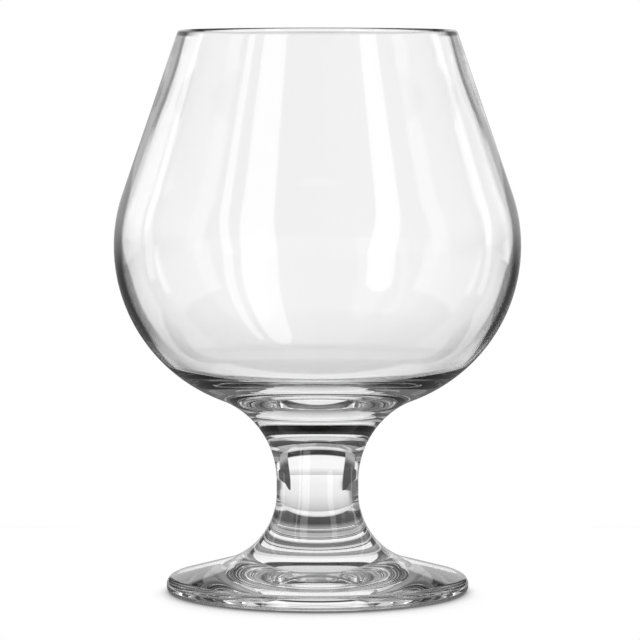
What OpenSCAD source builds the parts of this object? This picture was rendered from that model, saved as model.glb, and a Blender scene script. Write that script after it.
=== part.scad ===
// Brandy snifter, plain clear glass: a blown bowl, a pressed stem and a pressed foot,
// fused face to face while hot. The glass stands on z = 0 with +Z through its axis,
// and every piece is one outline turned about that axis. All lengths are in millimetres.

/* [Bowl] */
// Outer diameter of the bowl at its widest
belly_d = 85.8; // [80:0.2:92]
// Height of the widest place above the top of the waist
belly_rise = 49.8; // [46:0.2:54]
// Radius of the bowl's outside below its widest place
under_r = 34.6; // [33:0.2:36]
// Radius of the bowl's outside above its widest place
shoulder_r = 33.9; // [31:0.2:36]
// Height of the lip above the widest place
lip_rise = 45.4; // [42:0.2:50]
// Clear diameter of the mouth at the lip
mouth_d = 56.3; // [50:0.2:62]
// Thickness of the blown wall, which also rounds the lip
wall_t = 1.3; // [1:0.1:2]
// Extra thickness where the wall swells under the fire-polished lip
swell_t = 0.35; // [0:0.05:0.6]
// Distance from the lip down the wall to the thickest place of the swell
swell_at = 6.5; // [4:0.5:10]
// Distance from the lip down the wall to the end of the swell
swell_end = 20; // [14:1:30]
// Extra thickness that the wall has gained where it reaches the bottom
base_swell = 0.5; // [0.2:0.05:0.9]
// Height of the inside bottom above the lowest level of the bowl's outer arc
base_rise = 4; // [3.4:0.1:4.6]
// Radius of the inside where the wall turns into the bottom
inside_corner_r = 15; // [10:0.5:18]
// Radius of the shallow dish that is the bottom of the inside
dish_r = 100; // [90:5:200]

/* [Stem] */
// Diameter of the waist, the thinnest place of the stem
waist_d = 17.3; // [14:0.1:22]
// Length of the waist, where the stem is straight
waist_len = 2.4; // [1:0.2:6]
// Height of the lower end of the waist above the table
waist_h = 20.9; // [19:0.1:25]
// Turn of the flare that belongs to the stem, up to the fused face, in degrees
upper_turn = 42.7; // [30:0.1:55]

/* [Foot] */
// Diameter of the foot
foot_d = 63.9; // [58:0.1:70]
// Slope of the top of the foot, in degrees
foot_slope = 15.2; // [12:0.2:17]
// Rounding radius of the upper edge of the foot
edge_top_r = 1.85; // [1.2:0.05:2.4]
// Height of the upright band between the two rounded edges
edge_band_h = 0.5; // [0.2:0.1:1.5]
// Rounding radius of the lower edge of the foot
edge_low_r = 0.9; // [0.4:0.1:1.4]
// Width of the flat ring that the glass stands on
ring_w = 2; // [1:0.1:4]
// Height of the hollow under the middle of the foot
hollow_h = 1.6; // [0.8:0.1:2.4]
// Turn of the sweep that belongs to the stem, down to the fused face, in degrees
lower_turn = 47.8; // [35:0.1:60]

/* [Hidden] */
// Largest turn of an outline from one of its points to the next, in degrees
turn = 4;
$fn = 96;
clear_glass = [0.86, 0.91, 0.92, 0.45];

belly_r = belly_d / 2;
waist_r = waist_d / 2;
foot_r = foot_d / 2;
lip_r = wall_t / 2;
waist_top = waist_h + waist_len;
belly_h = waist_top + belly_rise;
lip_h = belly_h + lip_rise;

// Centres of the two arcs that meet at the widest place, and of the rounded lip
under_c = [belly_r - under_r, belly_h];
shoulder_c = [belly_r - shoulder_r, belly_h];
lip_c = [mouth_d / 2 + lip_r, lip_h - lip_r];

// The side above the shoulder is the straight line that touches the shoulder's arc
// and the lip's round on their outer sides. lean is its slope from the upright.
lean = bearing(shoulder_c, lip_c) - acos((shoulder_r - lip_r) / norm(lip_c - shoulder_c));
side_out = [cos(lean), sin(lean)];
side_top = lip_c + lip_r * side_out;
side_low = shoulder_c + shoulder_r * side_out;
side_len = norm(side_top - side_low);

// The inside below the widest place is three arcs in a row that touch each other: the
// wall's, the corner's and the dish's. The corner's centre follows from that.
inside_under_r = under_r - wall_t - base_swell;
inside_under_c = [belly_r - wall_t - inside_under_r, belly_h];
dish_c = [0, belly_h - under_r + base_rise + dish_r];
corner_way = inside_under_c - dish_c;
corner_span = norm(corner_way);
corner_along = ((dish_r - inside_corner_r)^2 - (inside_under_r - inside_corner_r)^2 + corner_span^2)
    / (2 * corner_span);
corner_across = sqrt((dish_r - inside_corner_r)^2 - corner_along^2);
inside_corner_c = dish_c
    + (corner_along * corner_way + corner_across * [-corner_way[1], corner_way[0]]) / corner_span;

// The flare under the bowl touches the waist and the bowl's lower arc, which gives
// its radius. It runs from 180 degrees at the waist round to flare_end at the bowl.
flare_off = under_c[0] - waist_r;
flare_r = (flare_off^2 + belly_rise^2 - under_r^2) / (2 * (under_r + flare_off));
flare_c = [waist_r + flare_r, waist_top];
flare_end = bearing(flare_c, under_c);
upper_cut = 180 - upper_turn;
upper_join_h = at(flare_c, flare_r, upper_cut)[1];

// The sweep over the foot touches the waist and the sloped top of the foot.
edge_c = [foot_r - edge_top_r, edge_low_r + edge_band_h];
top_run = foot_r - edge_top_r * (1 - sin(foot_slope)) - waist_r;
top_drop = waist_h - edge_c[1] - edge_top_r * cos(foot_slope) - top_run * tan(foot_slope);
sweep_r = top_drop * cos(foot_slope) / (1 - sin(foot_slope));
sweep_c = [waist_r + sweep_r, waist_h];
lower_cut = 180 + lower_turn;
lower_join_h = at(sweep_c, sweep_r, lower_cut)[1];

// The hollow under the foot is part of a sphere inside the flat ring.
ring_out_r = foot_r - edge_low_r;
ring_in_r = ring_out_r - ring_w;
hollow_r = (ring_in_r^2 + hollow_h^2) / (2 * hollow_h);

// Direction from one point to another, in degrees
function bearing(a, b) = atan2(b[1] - a[1], b[0] - a[0]);

// Point at an angle on an arc
function at(c, r, a) = c + r * [cos(a), sin(a)];

// Points of an arc from angle a0 to angle a1, without its first one
function arc_on(c, r, a0, a1) =
    let (n = ceil(abs(a1 - a0) / turn))
    [for (i = [1:n]) at(c, r, a0 + (a1 - a0) * i / n)];

// Thickness of the wall at distance s from the lip: a half wave up, then a half wave down
function wall_at(s) =
    s < swell_at ? wall_t + swell_t * (1 - cos(180 * s / swell_at)) / 2 :
    s < swell_end ? wall_t + swell_t * (1 + cos(180 * (s - swell_at) / (swell_end - swell_at))) / 2 :
    wall_t;

// Inside of the straight side, from just under the lip to the shoulder
function side_inside() =
    let (n = ceil(side_len / wall_t))
    [for (i = [1:n])
        let (s = side_len * i / n)
        side_top + (side_low - side_top) * i / n - wall_at(s) * side_out];

// Inside of the shoulder, which follows the outside at the wall's thickness
function shoulder_inside() =
    let (n = ceil(lean / turn))
    [for (i = [1:n])
        let (a = lean * (1 - i / n))
        let (s = side_len + shoulder_r * (lean - a) * PI / 180)
        at(shoulder_c, shoulder_r - wall_at(s), a)];

// Inside below the widest place, down to the middle of the bottom
function bottom_inside() =
    let (wall_end = bearing(inside_under_c, inside_corner_c))
    let (corner_end = bearing(dish_c, inside_corner_c))
    concat(
        arc_on(inside_under_c, inside_under_r, 0, wall_end),
        arc_on(inside_corner_c, inside_corner_r, wall_end, corner_end),
        arc_on(dish_c, dish_r, corner_end, -90));

module turned(outline) {
    color(clear_glass) rotate_extrude() polygon(outline);
}

module bowl() {
    turned(concat(
        [[0, upper_join_h], at(flare_c, flare_r, upper_cut)],
        arc_on(flare_c, flare_r, upper_cut, flare_end),
        arc_on(under_c, under_r, flare_end - 180, 0),
        arc_on(shoulder_c, shoulder_r, 0, lean),
        [side_top],
        arc_on(lip_c, lip_r, lean, lean + 180),
        side_inside(),
        shoulder_inside(),
        bottom_inside()));
}

module stem() {
    turned(concat(
        [[0, lower_join_h], at(sweep_c, sweep_r, lower_cut)],
        arc_on(sweep_c, sweep_r, lower_cut, 180),
        [[waist_r, waist_top]],
        arc_on(flare_c, flare_r, 180, upper_cut),
        [[0, upper_join_h]]));
}

module foot() {
    half_hollow = asin(ring_in_r / hollow_r);
    hollow_c = [0, hollow_h - hollow_r];
    turned(concat(
        [[0, hollow_h]],
        arc_on(hollow_c, hollow_r, 90, 90 - half_hollow),
        [[ring_out_r, 0]],
        arc_on([ring_out_r, edge_low_r], edge_low_r, -90, 0),
        [[foot_r, edge_c[1]]],
        arc_on(edge_c, edge_top_r, 0, 90 - foot_slope),
        [at(sweep_c, sweep_r, 270 - foot_slope)],
        arc_on(sweep_c, sweep_r, 270 - foot_slope, lower_cut),
        [[0, lower_join_h]]));
}

bowl();
stem();
foot();
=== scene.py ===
import math

import bpy
import numpy as np
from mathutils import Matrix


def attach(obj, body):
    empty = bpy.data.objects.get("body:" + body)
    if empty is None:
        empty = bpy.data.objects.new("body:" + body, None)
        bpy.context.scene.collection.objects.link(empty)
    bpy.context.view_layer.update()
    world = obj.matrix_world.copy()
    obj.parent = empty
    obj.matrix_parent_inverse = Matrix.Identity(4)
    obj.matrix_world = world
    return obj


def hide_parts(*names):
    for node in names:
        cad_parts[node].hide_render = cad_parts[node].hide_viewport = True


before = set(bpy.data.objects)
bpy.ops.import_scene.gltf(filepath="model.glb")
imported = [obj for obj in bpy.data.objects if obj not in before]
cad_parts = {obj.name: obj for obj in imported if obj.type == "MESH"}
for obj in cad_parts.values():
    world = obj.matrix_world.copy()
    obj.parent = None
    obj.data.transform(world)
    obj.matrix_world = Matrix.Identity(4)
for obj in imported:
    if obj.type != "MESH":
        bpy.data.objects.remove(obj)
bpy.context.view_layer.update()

mm = 0.001  # lengths below are given in millimetres and used in metres
scene = bpy.context.scene


# Camera

camera = {
    "distance": 931 * mm,            # from the glass's axis, along -Y
    "height": 134.6 * mm,            # above the table
    "pixelsPerMm": 4.755,            # at the axis
    "frameWidth": 640,               # pixels
    "axisAt": 317.5,                 # pixel column of the glass's axis
    "horizonAt": -47.1,              # pixel row of the horizon, above the top of the frame
    "sensor": 36.0,                  # mm
    "clip": (10 * mm, 200000 * mm),  # nearest and farthest distance that is drawn
}


def makeCamera():
    # focal length in pixels = pixels per mm x distance; lens = focal x sensor / frame width;
    # offset = pixels from the axis to the frame's middle / focal x distance;
    # downward pitch = atan(pixels from the horizon to the frame's middle / focal)
    focal = camera["pixelsPerMm"] * camera["distance"] / mm
    middle = camera["frameWidth"] / 2
    data = bpy.data.cameras.new("camera")
    data.sensor_width = camera["sensor"]
    data.lens = focal * camera["sensor"] / camera["frameWidth"]
    data.clip_start, data.clip_end = camera["clip"]
    obj = bpy.data.objects.new("camera", data)
    offset = (middle - camera["axisAt"]) / focal * camera["distance"]
    pitch = math.atan((middle - camera["horizonAt"]) / focal)
    obj.location = (offset, -camera["distance"], camera["height"])
    obj.rotation_euler = (math.pi / 2 - pitch, 0, 0)
    scene.collection.objects.link(obj)
    scene.camera = obj


makeCamera()
print("camera placed")


# Shape of the three pieces

bowl = {
    "bellyDiameter": 85.8 * mm,
    "bellyRise": 49.8 * mm,    # widest place above the top of the waist
    "underRadius": 34.6 * mm,  # arc below the widest place
    "shoulderRadius": 33.9 * mm,
    "lipRise": 45.4 * mm,      # lip above the widest place
    "mouthDiameter": 56.3 * mm,
    "wall": 1.3 * mm,
    "swell": 0.35 * mm,        # extra wall under the fire-polished lip
    "swellAt": 6.5 * mm,       # distance down from the lip where it is thickest
    "swellEnd": 20 * mm,       # where it ends, on the straight side
    "baseSwell": 0.5 * mm,     # extra wall where it reaches the bottom
    "baseRise": 4 * mm,        # inside bottom above the lowest level of the outer arc
    "cornerRadius": 15 * mm,   # inside, where the wall turns into the bottom
    "dishRadius": 100 * mm,    # shallow dish of the inside bottom
}
stem = {
    "waistDiameter": 17.3 * mm,
    "waistLength": 2.4 * mm,
    "waistHeight": 20.9 * mm,         # lower end of the waist above the table
    "upperTurn": math.radians(42.7),  # part of the flare up to the fused face
}
foot = {
    "diameter": 63.9 * mm,
    "slope": math.radians(15.2),      # of the foot's top
    "edgeTopRadius": 1.85 * mm,
    "edgeBand": 0.5 * mm,             # upright band between the two rounded edges
    "edgeLowRadius": 0.9 * mm,
    "ring": 2 * mm,                   # width of the flat ring that it stands on
    "hollow": 1.6 * mm,               # height of the hollow inside that ring
    "lowerTurn": math.radians(47.8),  # part of the sweep down to the fused face
}
turning = {
    "segments": 192,            # around the axis
    "step": math.radians(1.0),  # along an arc
    "sideSteps": 60,            # down the straight side, which carries the swell
}


def direction(angle):
    # unit vector (cos a, sin a)
    return np.stack([np.cos(angle), np.sin(angle)], axis=-1)


def arc(centre, radius, start, end, inward=False):
    # p(a) = centre + radius (cos a, sin a); the outward normal is (cos a, sin a), or its
    # opposite where the glass lies outside the arc
    count = max(2, int(math.ceil(abs(end - start) / turning["step"])) + 1)
    out = direction(np.linspace(start, end, count))
    return np.asarray(centre) + radius * out, -out if inward else out


def line(a, b, normal):
    # two points with one normal
    return np.array([a, b], float), np.array([normal, normal], float)


def bearing(v):
    # angle of a vector = atan2(its second part, its first)
    return math.atan2(v[1], v[0])


def touchInside(c1, r1, c3, r3, r2):
    # centre of a circle of radius r2 that touches two circles from inside, on their outer side:
    # along = ((r3 - r2)^2 - (r1 - r2)^2 + d^2) / 2d from c3 towards c1, and across by Pythagoras
    way = c1 - c3
    d = np.hypot(*way)
    along = ((r3 - r2) ** 2 - (r1 - r2) ** 2 + d ** 2) / (2 * d)
    across = math.sqrt((r3 - r2) ** 2 - along ** 2)
    u = way / d
    return c3 + along * u + across * np.array([-u[1], u[0]])


def outlines():
    # the outline of each piece in (r, z), as runs of points and their outward normals
    bellyR, waistR = bowl["bellyDiameter"] / 2, stem["waistDiameter"] / 2
    footR, lipR = foot["diameter"] / 2, bowl["wall"] / 2
    waistLow = stem["waistHeight"]
    waistTop = waistLow + stem["waistLength"]
    bellyZ = waistTop + bowl["bellyRise"]
    lipZ = bellyZ + bowl["lipRise"]

    # straight side: touches the shoulder's arc and the lip's round from outside
    underC = np.array([bellyR - bowl["underRadius"], bellyZ])
    shoulderC = np.array([bellyR - bowl["shoulderRadius"], bellyZ])
    lipC = np.array([bowl["mouthDiameter"] / 2 + lipR, lipZ - lipR])
    way = lipC - shoulderC
    lean = bearing(way) - math.acos((bowl["shoulderRadius"] - lipR) / np.hypot(*way))
    out = direction(lean)
    sideTop, sideLow = lipC + lipR * out, shoulderC + bowl["shoulderRadius"] * out
    sideLength = np.hypot(*(sideTop - sideLow))

    # flare: touches the waist and the arc under the belly
    off = underC[0] - waistR
    span = off ** 2 + bowl["bellyRise"] ** 2 - bowl["underRadius"] ** 2
    flareR = span / (2 * (bowl["underRadius"] + off))
    flareC = np.array([waistR + flareR, waistTop])
    flareEnd = bearing(underC - flareC)
    topCut = math.pi - stem["upperTurn"]
    topJoin = flareC[1] + flareR * math.sin(topCut)

    # sweep: touches the waist and the foot's sloped top
    slope, edgeR, edgeLowR = foot["slope"], foot["edgeTopRadius"], foot["edgeLowRadius"]
    edgeC = np.array([footR - edgeR, edgeLowR + foot["edgeBand"]])
    run = footR - edgeR * (1 - math.sin(slope)) - waistR
    drop = waistLow - edgeC[1] - edgeR * math.cos(slope) - run * math.tan(slope)
    sweepR = drop * math.cos(slope) / (1 - math.sin(slope))
    sweepC = np.array([waistR + sweepR, waistLow])
    lowCut = math.pi + foot["lowerTurn"]
    lowJoin = sweepC[1] + sweepR * math.sin(lowCut)
    sweepEnd = 3 * math.pi / 2 - slope

    # inside of the bowl
    def wallAt(s):
        # half a cosine wave up to the swell, half a wave down to the plain wall
        top, end = bowl["swellAt"], bowl["swellEnd"]
        rise = (1 - np.cos(np.pi * s / top)) / 2
        fall = (1 + np.cos(np.pi * (s - top) / (end - top))) / 2
        return bowl["wall"] + bowl["swell"] * np.where(s < top, rise, np.where(s < end, fall, 0))

    t = np.linspace(0, 1, turning["sideSteps"] + 1)[:, None]
    inner = sideTop + (sideLow - sideTop) * t - wallAt(sideLength * t) * out
    innerNormals = alongNormals(inner)
    shoulderIn = arc(shoulderC, bowl["shoulderRadius"] - bowl["wall"], lean, 0, inward=True)
    wallR = bowl["underRadius"] - bowl["wall"] - bowl["baseSwell"]
    cornerR, dishR = bowl["cornerRadius"], bowl["dishRadius"]
    wallC = np.array([bellyR - bowl["wall"] - wallR, bellyZ])
    dishC = np.array([0, bellyZ - bowl["underRadius"] + bowl["baseRise"] + dishR])
    cornerC = touchInside(wallC, wallR, dishC, dishR, cornerR)
    wallEnd, cornerEnd = bearing(cornerC - wallC), bearing(cornerC - dishC)

    # hollow under the foot
    ringOut = footR - edgeLowR
    ringIn = ringOut - foot["ring"]
    hollowR = (ringIn ** 2 + foot["hollow"] ** 2) / (2 * foot["hollow"])
    hollowC = np.array([0, foot["hollow"] - hollowR])
    halfHollow = math.asin(ringIn / hollowR)

    def at(centre, radius, angle):
        # one point of an arc
        return centre + radius * direction(angle)

    up, down, right = (0, 1), (0, -1), (1, 0)
    return {
        "bowl": [
            ("join", line((0, topJoin), at(flareC, flareR, topCut), down)),
            ("glass", arc(flareC, flareR, topCut, flareEnd, inward=True)),
            ("glass", arc(underC, bowl["underRadius"], flareEnd - math.pi, 0)),
            ("glass", arc(shoulderC, bowl["shoulderRadius"], 0, lean)),
            ("glass", line(sideLow, sideTop, out)),
            ("glass", arc(lipC, lipR, lean, lean + math.pi)),
            ("glass", (inner, innerNormals)),
            ("glass", shoulderIn),
            ("glass", arc(wallC, wallR, 0, wallEnd, inward=True)),
            ("glass", arc(cornerC, cornerR, wallEnd, cornerEnd, inward=True)),
            ("glass", arc(dishC, dishR, cornerEnd, -math.pi / 2, inward=True)),
        ],
        "stem": [
            ("join", line((0, lowJoin), at(sweepC, sweepR, lowCut), down)),
            ("glass", arc(sweepC, sweepR, lowCut, math.pi, inward=True)),
            ("glass", line((waistR, waistLow), (waistR, waistTop), right)),
            ("glass", arc(flareC, flareR, math.pi, topCut, inward=True)),
            ("join", line(at(flareC, flareR, topCut), (0, topJoin), up)),
        ],
        "foot": [
            ("glass", arc(hollowC, hollowR, math.pi / 2, math.pi / 2 - halfHollow, inward=True)),
            ("glass", line((ringIn, 0), (ringOut, 0), down)),
            ("glass", arc((ringOut, edgeLowR), edgeLowR, -math.pi / 2, 0)),
            ("glass", line((footR, edgeLowR), (footR, edgeC[1]), right)),
            ("glass", arc(edgeC, edgeR, 0, math.pi / 2 - slope)),
            ("glass", line(at(edgeC, edgeR, math.pi / 2 - slope), at(sweepC, sweepR, sweepEnd),
                           (math.sin(slope), math.cos(slope)))),
            ("glass", arc(sweepC, sweepR, sweepEnd, lowCut, inward=True)),
            ("join", line(at(sweepC, sweepR, lowCut), (0, lowJoin), up)),
        ],
    }


def alongNormals(points):
    # normal = tangent turned a quarter to the right, because the glass is on the outline's left
    tangent = np.gradient(points, axis=0)
    normal = np.stack([tangent[:, 1], -tangent[:, 0]], axis=1)
    return normal / np.linalg.norm(normal, axis=1)[:, None]


def turnedPiece(name, runs, materials):
    # surface of revolution: p(i, j) = (r_j cos a_i, r_j sin a_i, z_j), a_i = 2 pi i / n
    n = turning["segments"]
    # points = the first run's first point, then the rest of each run; first and last = the
    # normals at the two ends of each step of the outline
    points = [runs[0][1][0][:1]]
    first, last, slots = [], [], []
    for slot, (p, normals) in runs:
        points.append(p[1:])
        first.append(normals[:-1])
        last.append(normals[1:])
        slots += [list(materials).index(slot)] * (len(p) - 1)
    points, first, last = np.vstack(points), np.vstack(first), np.vstack(last)
    slots = np.array(slots)
    points[0, 0] = points[-1, 0] = 0

    # rings of points, then the two poles on the axis
    angle = 2 * np.pi * np.arange(n) / n
    cos, sin = np.cos(angle), np.sin(angle)
    ring = points[1:-1]
    verts = np.empty((len(ring), n, 3))
    verts[..., 0] = ring[:, None, 0] * cos
    verts[..., 1] = ring[:, None, 0] * sin
    verts[..., 2] = ring[:, None, 1]
    verts = np.vstack([verts.reshape(-1, 3), [[0, 0, points[0, 1]], [0, 0, points[-1, 1]]]])
    startPole, endPole = len(verts) - 2, len(verts) - 1

    # quads between the rings and triangles at the poles, each corner with its own normal
    i = np.arange(n)
    k = (i + 1) % n

    def turned(normals, which):
        # (n_r cos a, n_r sin a, n_z)
        return np.stack([normals[..., 0] * cos[which], normals[..., 0] * sin[which],
                         normals[..., 1] + 0 * cos[which]], axis=-1)

    j = np.arange(len(ring) - 1)[:, None]
    quads = np.stack([j * n + i, j * n + k, (j + 1) * n + k, (j + 1) * n + i], axis=-1)
    mids1, mids2 = first[1:-1, None, :], last[1:-1, None, :]
    quadNormals = np.stack([turned(mids1, i), turned(mids1, k),
                            turned(mids2, k), turned(mids2, i)], axis=2)
    # at a pole only the part of the normal along the axis counts
    top = (len(ring) - 1) * n
    startTris = np.stack([np.full(n, startPole), k, i], axis=-1)
    s0, s1 = np.broadcast_to(first[0], (n, 2)), np.broadcast_to(last[0], (n, 2))
    startNormals = np.stack([turned(s0 * [0, 1], i), turned(s1, k), turned(s1, i)], axis=1)
    endTris = np.stack([top + i, top + k, np.full(n, endPole)], axis=-1)
    e0, e1 = np.broadcast_to(first[-1], (n, 2)), np.broadcast_to(last[-1], (n, 2))
    endNormals = np.stack([turned(e0, i), turned(e0, k), turned(e1 * [0, 1], i)], axis=1)

    loops = np.concatenate([quads.reshape(-1), startTris.reshape(-1), endTris.reshape(-1)])
    normals = np.vstack([part.reshape(-1, 3) for part in (quadNormals, startNormals, endNormals)])
    sizes = np.concatenate([np.full(quads.shape[0] * n, 4), np.full(2 * n, 3)])
    starts = np.concatenate([[0], np.cumsum(sizes)[:-1]])
    faceSlots = np.concatenate([np.repeat(slots[1:-1], n), np.full(n, slots[0]),
                                np.full(n, slots[-1])])
    mesh = bpy.data.meshes.new(name)
    mesh.vertices.add(len(verts))
    mesh.vertices.foreach_set("co", verts.astype(np.float32).ravel())
    mesh.loops.add(len(loops))
    mesh.loops.foreach_set("vertex_index", loops.astype(np.int32))
    mesh.polygons.add(len(sizes))
    mesh.polygons.foreach_set("loop_start", starts.astype(np.int32))
    mesh.polygons.foreach_set("material_index", faceSlots.astype(np.int32))
    mesh.polygons.foreach_set("use_smooth", np.ones(len(sizes), bool))
    mesh.update(calc_edges=True)
    mesh.validate()
    for material in materials.values():
        mesh.materials.append(material)
    normals /= np.linalg.norm(normals, axis=1)[:, None]
    mesh.normals_split_custom_set(normals.tolist())
    obj = bpy.data.objects.new(name, mesh)
    scene.collection.objects.link(obj)
    return obj


# Materials

def linear(code):
    # sRGB hex to linear RGBA: c / 12.92 up to 0.04045, above it ((c + 0.055) / 1.055) ^ 2.4
    c = np.array([int(code[i:i + 2], 16) for i in (0, 2, 4)]) / 255
    return (*np.where(c <= 0.04045, c / 12.92, ((c + 0.055) / 1.055) ** 2.4), 1)


def addNode(tree, kind, inputs=None, **settings):
    # adds one node and returns its outputs; inputs are {name or number: value or socket}
    node = tree.nodes.new("ShaderNode" + kind)
    for key, value in settings.items():
        setattr(node, key, value)
    for key, value in (inputs or {}).items():
        if isinstance(value, bpy.types.NodeSocket):
            tree.links.new(value, node.inputs[key])
        else:
            node.inputs[key].default_value = value
    return node.outputs


def newTree(owner):
    # an empty node tree for a material or for the world
    owner.use_nodes = True
    owner.node_tree.nodes.clear()
    return owner.node_tree


glassLook = {
    "clear": "ffffff",
    "roughness": 0.0,
    "ior": 1.52,
    # each of these is painted shade that dims the glass colour, from nothing to all between two
    # turns, where a turn is 1 - cosine of an angle, and between two heights: dark edges of the
    # wall, a thin dark line along the inner wall, and dark sides of the lip
    "edge": {"colour": "7c7c7c", "turn": (0.69, 0.74), "height": (51 * mm, 55 * mm)},
    "line": {"colour": "1c1c1c", "turn": (0.75, 0.82), "height": (92 * mm, 99 * mm)},
    "lip": {"colour": "1c1c1c", "turn": (0.40, 0.66), "height": (117.2 * mm, 117.6 * mm)},
    "upper": (82 * mm, 95 * mm),  # heights between which the painted dark edges get thinner
    "upperLater": 0.19,           # how much later the turn of that painted shade starts there
    "innerLower": 17 * mm,        # how much lower that is on the inner wall
}


def firePolishedGlass():
    # Soda-lime glass, blown or pressed and then fire-polished: it shows no colour and no grain,
    # only sharp reflections. Its thin dark edges where the eye looks along the wall come partly
    # from the dark cards behind it and partly from painted shade in its colour; the dark line on
    # the inner wall and the dark sides of the lip are painted shade only.
    # colour = clear, mixed to each painted shade colour by a smooth step of height x one of turn
    material = bpy.data.materials.new("fire_polished_soda_lime_glass")
    tree = newTree(material)
    place = addNode(tree, "TexCoord")
    x, y, z = addNode(tree, "SeparateXYZ", {0: place["Object"]})
    level = addNode(tree, "CombineXYZ", {0: x, 1: y, 2: 0.0})[0]
    outwards = addNode(tree, "VectorMath", {0: level}, operation="NORMALIZE")[0]

    # inside = 1 where the normal points towards the axis
    along = addNode(tree, "VectorMath", {0: outwards, 1: place["Normal"]},
                    operation="DOT_PRODUCT")["Value"]
    inside = addNode(tree, "Math", {0: along, 1: 0.0}, operation="LESS_THAN")[0]

    # with a blend of a half, Facing is 1 - cosine of the angle between the eye and the normal
    facing = addNode(tree, "LayerWeight", {"Blend": 0.5})["Facing"]
    aside = addNode(tree, "LayerWeight", {"Blend": 0.5, "Normal": outwards})["Facing"]
    raised = addNode(tree, "Math", {0: inside, 1: glassLook["innerLower"], 2: z},
                     operation="MULTIPLY_ADD")[0]
    low, high = glassLook["upper"]
    upper = addNode(tree, "MapRange", {"Value": raised, "From Min": low, "From Max": high},
                    interpolation_type="SMOOTHSTEP")[0]
    later = addNode(tree, "Math", {0: upper, 1: -glassLook["upperLater"], 2: facing},
                    operation="MULTIPLY_ADD")[0]

    colour = linear(glassLook["clear"])
    # each pass mixes one painted shade into the colour: dark wall edges, a dark inner line, dark
    # lip sides
    for name, turn, share in (("edge", later, 1.0), ("line", facing, inside), ("lip", aside, 1.0)):
        paintedShade = glassLook[name]
        for value, (low, high) in ((z, paintedShade["height"]), (turn, paintedShade["turn"])):
            step = addNode(tree, "MapRange", {"Value": value, "From Min": low, "From Max": high},
                           interpolation_type="SMOOTHSTEP")[0]
            share = addNode(tree, "Math", {0: share, 1: step}, operation="MULTIPLY")[0]
        # inputs 6 and 7 are the two colours
        colour = addNode(tree, "Mix", {0: share, 6: colour, 7: linear(paintedShade["colour"])},
                         data_type="RGBA")[2]
    shader = addNode(tree, "BsdfPrincipled", {
        "Base Color": colour, "Roughness": glassLook["roughness"], "IOR": glassLook["ior"],
        "Transmission Weight": 1.0})[0]
    addNode(tree, "OutputMaterial", {"Surface": shader})
    return material


def fusedJoin():
    # Glass that was fused while hot has no boundary inside, so light goes straight through
    # these faces and the eye doesn't see them.
    material = bpy.data.materials.new("fused_join")
    tree = newTree(material)
    clear = addNode(tree, "BsdfTransparent")[0]
    addNode(tree, "OutputMaterial", {"Surface": clear})
    return material


glass, join = firePolishedGlass(), fusedJoin()
for name, runs in outlines().items():
    piece = turnedPiece(name + "_glass", runs, {"glass": glass, "join": join})
    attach(piece, "root")
    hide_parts(name)
    print(name, "made,", len(piece.data.polygons), "faces")


# Studio

studio = {
    # Plain fields and softboxes around the glass, all angles in degrees. azimuth runs from +Y
    # towards +X; level is the radiance; low and end are the softness of the lower and of the
    # right edge; lean is how far the azimuth moves per degree above the horizon; round is the
    # radius of the corners.
    "fields": {
        "backdrop": {"azimuth": (-66, 69), "elevation": (-2, 20), "level": 0.97, "low": 16},
        "overBackdrop": {"azimuth": (-48, 48), "elevation": (31, 75), "level": 0.69},
        "farLeft": {"azimuth": (-112, -64), "elevation": (2, 31), "level": 0.69, "low": 13},
        "farRight": {"azimuth": (63, 112), "elevation": (2, 31), "level": 0.68, "low": 13},
        "below": {"azimuth": (-100, 100), "elevation": (-90, -3), "level": 0.13},
        "frontLeft": {"azimuth": (-190, -100), "elevation": (-40, 90), "level": 0.27},
        # fades to the level of frontLeft where the two meet, at 180 degrees
        "frontRight": {"azimuth": (100, 187), "elevation": (-40, 90), "level": 0.43, "end": 54},
    },
    "lights": {
        "stripLeft": {"azimuth": (-74, -67), "elevation": (-14, 60), "level": 1.2, "lean": -0.36},
        "stripRight": {"azimuth": (65, 71), "elevation": (-20, 60), "level": 1.2, "lean": 0.35},
        "thinLeft": {"azimuth": (-132, -126), "elevation": (-58, 60), "level": 2.0,
                     "lean": -0.28, "round": 3},
        "softLeft": {"azimuth": (-158, -137), "elevation": (-64, 60), "level": 2.2,
                     "lean": -0.16, "round": 9},
        "softRight": {"azimuth": (136, 152), "elevation": (-25, 60), "level": 2.2,
                      "lean": 0.29, "round": 7},
    },
    "edge": 2.0,     # softness of all other edges
    "fill": 0.03,    # radiance of everything between them
    "white": 1.0,    # what the camera sees behind the glass, also straight through thin walls
    "thinWalls": 2,  # walls that such a view goes through
    "inside": 0.15,  # share of the softboxes that reaches rays from inside the glass
    # how many reflections inside the glass a ray has had where it starts and ends to fade, and
    # the share that is left; the second is for rays that end on the table
    "trapped": (4.0, 10.0, 0.0),
    "trappedLow": (6.0, 12.0, 0.45),
    "bounces": 32,   # enough for the light that is trapped in the base and in the foot
}


def softWindow(tree, value, low, high, lowEdge, highEdge):
    # 1 between low and high, with straight ramps:
    # clamp(0.5 + (v - low) / lowEdge) x clamp(0.5 + (high - v) / highEdge)
    after = addNode(tree, "Math", {0: value, 1: 1 / lowEdge, 2: 0.5 - low / lowEdge},
                    operation="MULTIPLY_ADD", use_clamp=True)[0]
    before = addNode(tree, "Math", {0: value, 1: -1 / highEdge, 2: 0.5 + high / highEdge},
                     operation="MULTIPLY_ADD", use_clamp=True)[0]
    return addNode(tree, "Math", {0: after, 1: before}, operation="MULTIPLY")[0]


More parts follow.
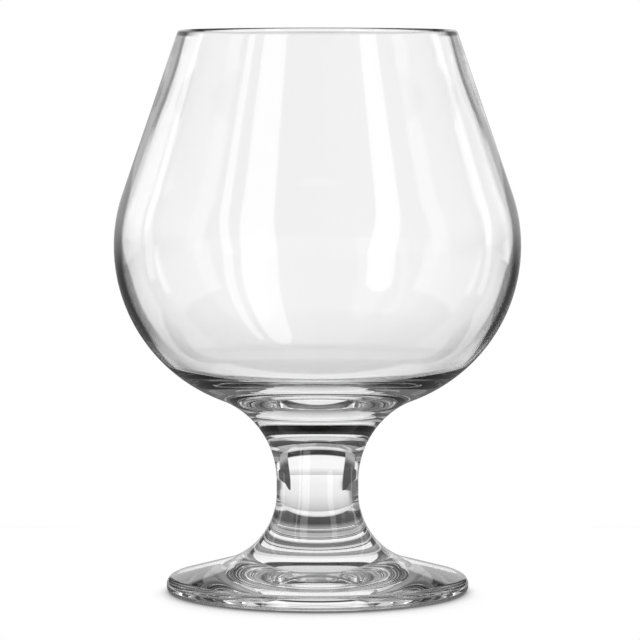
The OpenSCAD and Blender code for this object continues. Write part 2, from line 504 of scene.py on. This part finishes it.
def roundWindow(tree, u, v, across, along, edge, radius):
    # 1 inside a box with round corners: clamp(0.5 + (radius - d) / edge), where d is the
    # distance from the box that is smaller by the radius all round
    squares = []
    for value, (low, high) in ((u, across), (v, along)):
        off = addNode(tree, "Math", {0: value, 1: (low + high) / 2}, operation="SUBTRACT")[0]
        off = addNode(tree, "Math", {0: off}, operation="ABSOLUTE")[0]
        reach = (high - low) / 2 - radius
        off = addNode(tree, "Math", {0: off, 1: reach}, operation="SUBTRACT")[0]
        off = addNode(tree, "Math", {0: off, 1: 0.0}, operation="MAXIMUM")[0]
        squares.append(addNode(tree, "Math", {0: off, 1: off}, operation="MULTIPLY")[0])
    d = addNode(tree, "Math", {0: squares[0], 1: squares[1]}, operation="ADD")[0]
    d = addNode(tree, "Math", {0: d}, operation="SQRT")[0]
    return addNode(tree, "Math", {0: d, 1: -1 / edge, 2: 0.5 + radius / edge},
                   operation="MULTIPLY_ADD", use_clamp=True)[0]


def rayKinds(tree, trapped):
    # plain = nothing reflected the ray; through = plain x went through the thin walls, each of
    # which it enters and leaves; softboxes = share of them that it gets; left = 1 down to the
    # share that is left, by a smooth step of the number of reflections
    path = addNode(tree, "LightPath")
    crossings, reflections = path["Transmission Depth"], path["Glossy Depth"]
    # both limits lie half way between two whole counts
    plain = addNode(tree, "Math", {0: reflections, 1: 0.5}, operation="LESS_THAN")[0]
    crossed = addNode(tree, "Math", {0: crossings, 1: 2 * studio["thinWalls"] - 0.5},
                      operation="GREATER_THAN")[0]
    through = addNode(tree, "Math", {0: crossed, 1: plain}, operation="MULTIPLY")[0]
    softboxes = addNode(tree, "MapRange", {
        "Value": crossings, "To Min": 1.0, "To Max": studio["inside"]})[0]
    start, end, share = trapped
    left = addNode(tree, "MapRange", {
        "Value": reflections, "From Min": start, "From Max": end, "To Min": 1.0, "To Max": share},
        interpolation_type="SMOOTHSTEP")[0]
    return {"camera": path["Is Camera Ray"], "plain": plain, "through": through,
            "softboxes": softboxes, "left": left}


def makeWorld():
    # azimuth = atan2(x, y) and elevation = asin z, in degrees; each field and softbox is a
    # window in both, and their levels add up
    world = bpy.data.worlds.new("studio")
    scene.world = world
    tree = newTree(world)
    sky = addNode(tree, "TexCoord")["Generated"]
    x, y, z = addNode(tree, "SeparateXYZ", {0: sky})
    rays = rayKinds(tree, studio["trapped"])
    degrees = math.degrees(1)
    turn = addNode(tree, "Math", {0: x, 1: y}, operation="ARCTAN2")[0]
    azimuth = addNode(tree, "Math", {0: turn, 1: degrees}, operation="MULTIPLY")[0]
    rise = addNode(tree, "Math", {0: z}, operation="ARCSINE")[0]
    elevation = addNode(tree, "Math", {0: rise, 1: degrees}, operation="MULTIPLY")[0]
    above = addNode(tree, "Math", {0: elevation, 1: 0.0}, operation="MAXIMUM")[0]

    def addWindows(total, windows):
        # total + level x window, for each window
        edge = studio["edge"]
        for w in windows:
            upright = azimuth
            if "lean" in w:
                upright = addNode(tree, "Math", {0: above, 1: w["lean"], 2: azimuth},
                                  operation="MULTIPLY_ADD")[0]
            if "round" in w:
                both = roundWindow(tree, upright, elevation, w["azimuth"], w["elevation"],
                                   edge, w["round"])
            else:
                across = softWindow(tree, upright, *w["azimuth"], edge, w.get("end", edge))
                along = softWindow(tree, elevation, *w["elevation"], w.get("low", edge), edge)
                both = addNode(tree, "Math", {0: across, 1: along}, operation="MULTIPLY")[0]
            total = addNode(tree, "Math", {0: both, 1: w["level"], 2: total},
                            operation="MULTIPLY_ADD")[0]
        return total

    fields = addWindows(studio["fill"], studio["fields"].values())
    lights = addWindows(0.0, studio["lights"].values())
    total = addNode(tree, "Math", {0: lights, 1: rays["softboxes"], 2: fields},
                    operation="MULTIPLY_ADD")[0]
    total = addNode(tree, "Math", {0: total, 1: rays["left"]}, operation="MULTIPLY")[0]
    direct = addNode(tree, "Math", {0: rays["camera"], 1: rays["through"]},
                     operation="MAXIMUM")[0]
    level = addNode(tree, "Mix", {0: direct, 2: total, 3: studio["white"]})[0]
    background = addNode(tree, "Background", {"Color": linear("ffffff"), "Strength": level})[0]
    addNode(tree, "OutputWorld", {"Surface": background})


def stageObject(name, corners, faces, material, hiddenFrom):
    # a flat mesh that belongs to the picture, not to the glass
    mesh = bpy.data.meshes.new(name)
    mesh.from_pydata(corners, [], faces)
    mesh.materials.append(material)
    obj = bpy.data.objects.new(name, mesh)
    scene.collection.objects.link(obj)
    setattr(obj, hiddenFrom, False)


table = {
    "half": 3000 * mm,
    "gap": 0.05 * mm,  # air under the resting ring
    # painted light and shade, as radiance seen by the glass, by distance from its axis in mm:
    # under the hollow, under the resting ring, then around the foot, dark under the foot
    "glow": ((0, 0.1), (14, 0.05), (22, 0.35), (28, 0.5), (30, 0.2), (32.5, 0.2), (34, 0.45),
             (45, 0.6), (70, 0.74), (130, 0.86), (250, 0.95), (math.inf, 1.0)),
    # the same painted levels as seen straight through the bowl
    "through": ((0, 1.0), (30, 1.0), (200, 0.85), (260, 0.81), (350, 0.91), (600, 1.0),
                (math.inf, 1.0)),
    "bend": 60,                        # mm, distance that both are finely drawn within
    # painted pool of light, a bright wedge of the table behind the glass: degrees to the left and
    # to the right of +Y
    "near": (-39, 55),
    "far": (-27, 51),
    "turnFrom": (151 * mm, 183 * mm),  # distances between which near turns into far
    "wedgeSoft": 7,                    # degrees
    "side": (0.18, 0.85),              # painted shade beside the wedge: share of the glow left there, near and far
    "sideFrom": (210 * mm, 300 * mm),  # where that changes, for rays that nothing reflected
    "stripe": (5.0 * mm, 9.0 * mm),    # half width of the painted bright stripe under the foot
    "footSide": 0.85,                  # painted shade beside the stripe: share of the glow left there
    "underFoot": 33 * mm,              # radius that the stripe ends at
    "shadowAim": (0, 0.966, 0.259),    # direction around which ambient occlusion is sampled for the painted contact shadow
    "shadowReach": 14 * mm,
    "shadowOpen": (0.5, 0.86),         # open share of it where the shadow is full and gone
    "shadowLevel": 0.15,
    "shadowRays": 16,
}


def levelRamp(tree, distance, levels):
    # levels at distances d in mm, read at d / (d + bend), which spreads the near ones out and
    # puts an endless distance at 1
    bend = table["bend"]
    whole = addNode(tree, "Math", {0: distance, 1: bend * mm}, operation="ADD")[0]
    place = addNode(tree, "Math", {0: distance, 1: whole}, operation="DIVIDE")[0]
    outputs = addNode(tree, "ValToRGB", {0: place})
    elements = outputs[0].node.color_ramp.elements
    distances, values = zip(*levels)
    for d in distances[1:-1]:
        elements.new(d / (d + bend))
    for element, value in zip(elements, values):
        element.color = (value, value, value, 1)
    return outputs[0]


def whitePaper():
    # White uncoated paper, drawn as glow and not lit: the camera sees plain white with a painted
    # contact shadow. The glass sees painted light and shade, glow x share of the wedge or of the
    # stripe x share left of the ray: dark under the foot, brighter away from it, a bright wedge
    # behind the glass and a bright stripe under the foot; straight through the bowl it sees
    # painted levels of their own.
    material = bpy.data.materials.new("white_paper")
    tree = newTree(material)
    place = addNode(tree, "TexCoord")["Object"]
    at = addNode(tree, "SeparateXYZ", {0: place})
    radius = addNode(tree, "VectorMath", {0: place}, operation="LENGTH")["Value"]
    turn = addNode(tree, "Math", {0: at["X"], 1: at["Y"]}, operation="ARCTAN2")[0]
    rays = rayKinds(tree, studio["trappedLow"])

    # past = |turn - middle| - half, both of which change from near to far
    limits = []
    for sign in (1, -1):
        near, far = (math.radians(right + sign * left) / 2
                     for left, right in (table["near"], table["far"]))
        limits.append(addNode(tree, "MapRange", {
            "Value": radius, "From Min": table["turnFrom"][0], "From Max": table["turnFrom"][1],
            "To Min": near, "To Max": far})[0])
    off = addNode(tree, "Math", {0: turn, 1: limits[0]}, operation="SUBTRACT")[0]
    off = addNode(tree, "Math", {0: off}, operation="ABSOLUTE")[0]
    past = addNode(tree, "Math", {0: off, 1: limits[1]}, operation="SUBTRACT")[0]

    # painted pool of light: the bright wedge behind the glass, with painted shade beside it
    near, far = table["side"]
    side = addNode(tree, "MapRange", {
        "Value": radius, "From Min": table["sideFrom"][0], "From Max": table["sideFrom"][1],
        "To Min": near, "To Max": far})[0]
    side = addNode(tree, "Mix", {0: rays["plain"], 2: near, 3: side})[0]
    soft = math.radians(table["wedgeSoft"])
    wedge = addNode(tree, "MapRange", {
        "Value": past, "From Min": -soft, "From Max": soft, "To Min": 1.0, "To Max": side},
        interpolation_type="SMOOTHSTEP")[0]

    # painted light: a bright stripe under the foot, with painted shade beside it
    across = addNode(tree, "Math", {0: at["X"]}, operation="ABSOLUTE")[0]
    low, high = table["stripe"]
    stripe = addNode(tree, "MapRange", {
        "Value": across, "From Min": low, "From Max": high,
        "To Min": 1.0, "To Max": table["footSide"]}, interpolation_type="SMOOTHSTEP")[0]
    beyond = addNode(tree, "Math", {0: radius, 1: table["underFoot"]},
                     operation="GREATER_THAN")[0]
    share = addNode(tree, "Mix", {0: beyond, 2: stripe, 3: wedge})[0]
    # painted light and shade by distance from the axis, dark under the foot
    lit = levelRamp(tree, radius, table["glow"])
    for factor in (share, rays["left"]):
        lit = addNode(tree, "Math", {0: lit, 1: factor}, operation="MULTIPLY")[0]
    behind = levelRamp(tree, radius, table["through"])
    level = addNode(tree, "Mix", {0: rays["through"], 2: lit, 3: behind})[0]

    # painted contact shadow, as from a light behind the glass: ambient occlusion tells how much
    # around the tilted aim is open to a place on the table
    shadowAimVector = addNode(tree, "CombineXYZ", dict(enumerate(table["shadowAim"])))[0]
    openShare = addNode(tree, "AmbientOcclusion", {
        "Distance": table["shadowReach"], "Normal": shadowAimVector}, samples=table["shadowRays"])["AO"]
    full, gone = table["shadowOpen"]
    shadow = addNode(tree, "MapRange", {
        "Value": openShare, "From Min": full, "From Max": gone,
        "To Min": table["shadowLevel"], "To Max": 1.0})[0]
    level = addNode(tree, "Mix", {0: rays["camera"], 2: level, 3: shadow})[0]
    paper = addNode(tree, "Emission", {"Strength": level})[0]
    addNode(tree, "OutputMaterial", {"Surface": paper})
    return material


def makeTable():
    # a square at z = -gap
    half, z = table["half"], -table["gap"]
    corners = [(-half, -half, z), (half, -half, z), (half, half, z), (-half, half, z)]
    # reflections don't show it, because the lights in front reach below its edge
    stageObject("table", corners, [(0, 1, 2, 3)], whitePaper(), "visible_glossy")


card = {
    # dark cards stand behind the glass and draw its edges; the camera doesn't see them
    "place": 110 * mm,     # behind the axis
    "left": 54.6 * mm,     # from the axis to the inner edge at edgeAt
    "right": 62.2 * mm,
    "edgeAt": 50 * mm,
    "lean": 0.07,          # of the inner edge, outwards
    "low": 6 * mm,
    "step": 50 * mm,       # height where the card is cut narrower
    "top": 205 * mm,
    "wide": 150 * mm,      # width below the step
    "width": 78 * mm,      # width above it
    "soft": 2.2 * mm,      # half width of the inner edge's soft step
    "grey": (0.08, 0.47),  # painted light: radiance low on the card and high on it
    "fade": (48 * mm, 86 * mm),
}


def greyCard(name, side, inner):
    # Grey card drawn as glow, not lit: a dark even level low down, with painted light that fades
    # it to mid-grey upwards, and a soft inner edge.
    # shown where side x - inner - lean (z - edgeAt) > 0; clear for rays straight through
    material = bpy.data.materials.new(name)
    tree = newTree(material)
    at = addNode(tree, "SeparateXYZ", {0: addNode(tree, "TexCoord")["Object"]})
    rays = rayKinds(tree, studio["trapped"])
    start = card["lean"] * card["edgeAt"] - inner
    leaning = addNode(tree, "Math", {0: at["Z"], 1: -card["lean"], 2: start},
                      operation="MULTIPLY_ADD")[0]
    off = addNode(tree, "Math", {0: at["X"], 1: side, 2: leaning}, operation="MULTIPLY_ADD")[0]
    cover = addNode(tree, "MapRange", {
        "Value": off, "From Min": -card["soft"], "From Max": card["soft"]},
        interpolation_type="SMOOTHSTEP")[0]
    cover = addNode(tree, "Mix", {0: rays["through"], 2: cover, 3: 0.0})[0]
    # painted light: the card's glow rises from dark to mid-grey with height
    (low, high), (dark, grey) = card["fade"], card["grey"]
    level = addNode(tree, "MapRange", {
        "Value": at["Z"], "From Min": low, "From Max": high, "To Min": dark, "To Max": grey},
        interpolation_type="SMOOTHSTEP")[0]
    level = addNode(tree, "Math", {0: level, 1: rays["left"]}, operation="MULTIPLY")[0]
    clear = addNode(tree, "BsdfTransparent")[0]
    paper = addNode(tree, "Emission", {"Strength": level})[0]
    surface = addNode(tree, "MixShader", {0: cover, 1: clear, 2: paper})[0]
    addNode(tree, "OutputMaterial", {"Surface": surface})
    return material


def makeCard(name, side, inner):
    # x = side (inner + lean (z - edgeAt)) at the inner edge, less the softness there
    def corner(z, across):
        return side * (inner + card["lean"] * (z - card["edgeAt"]) + across), card["place"], z

    low, step, top = card["low"], card["step"], card["top"]
    soft, wide, width = card["soft"], card["wide"], card["width"]
    corners = [corner(low, -soft), corner(low, wide), corner(step, wide), corner(step, width),
               corner(top, width), corner(top, -soft), corner(step, -soft)]
    stageObject(name, corners, [(0, 1, 2, 3, 6), (6, 3, 4, 5)],
                greyCard(name + "_paper", side, inner), "visible_camera")


makeWorld()
print("studio lit")
makeTable()
makeCard("card_left", -1, card["left"])
makeCard("card_right", 1, card["right"])
print("table and cards placed")
scene.view_settings.view_transform = "Standard"
for limit in ("max_bounces", "transmission_bounces", "glossy_bounces", "transparent_max_bounces"):
    setattr(scene.cycles, limit, studio["bounces"])
